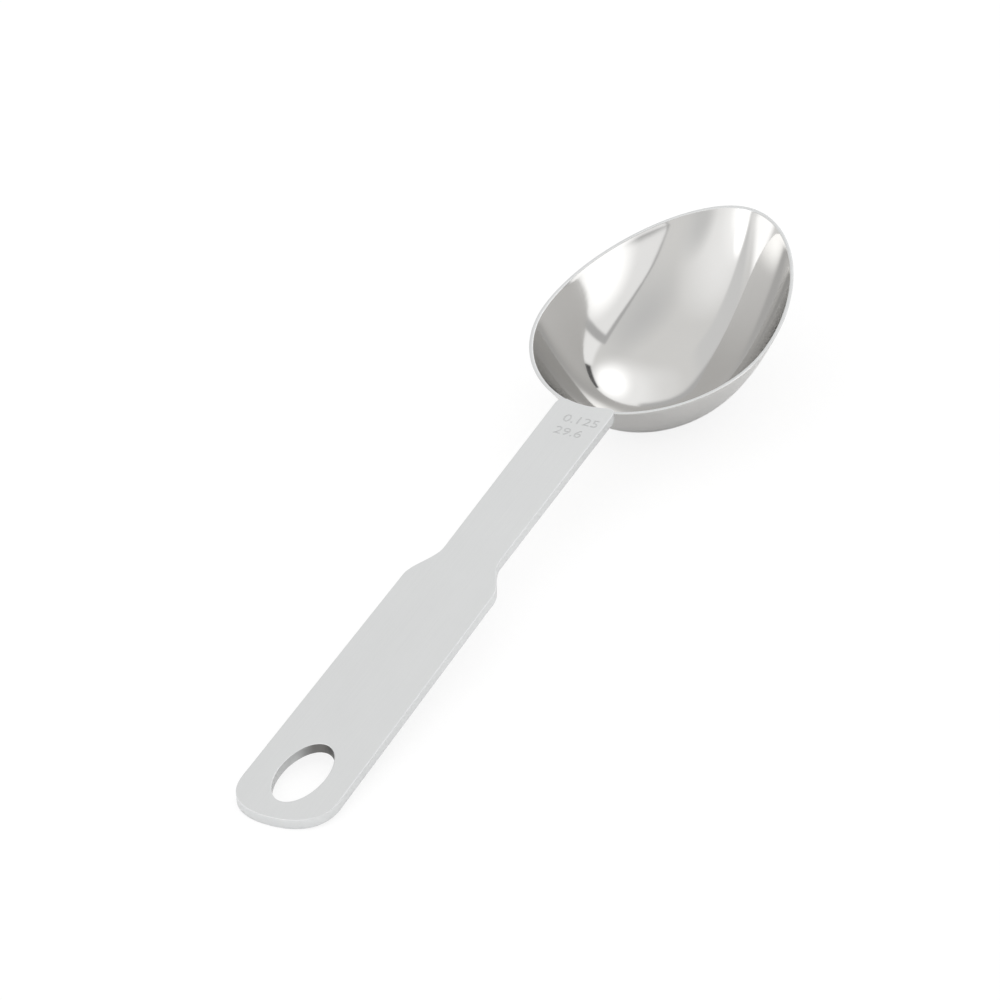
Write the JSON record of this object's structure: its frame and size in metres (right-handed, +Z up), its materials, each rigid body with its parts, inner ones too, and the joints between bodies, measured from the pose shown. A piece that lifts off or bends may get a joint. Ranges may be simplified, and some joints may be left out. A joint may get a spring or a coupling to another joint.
{
  "type": "cup scoop",
  "caption": "Small kitchen measuring scoop: a polished egg-shaped steel bowl spot-welded under a flat satin handle with a hanging slot.",
  "frame": {"origin": "under the middle of the whole scoop, on the table it lies on", "axes": "+X from the handle's end to the bowl's tip, +Y to the left seen from the handle's end, +Z up off the table"},
  "size_m": [0.2148, 0.0478, 0.0239],
  "materials": {
    "polished_steel": "mirror polished stainless steel",
    "satin_steel": "satin stainless steel",
    "weld_steel": "heat-marked stainless steel"
  },
  "bodies": {
    "root": {"bowl": "polished_steel", "handle": "satin_steel", "spot_weld_front": "weld_steel", "spot_weld_rear": "weld_steel"}
  },
  "joints": []
}
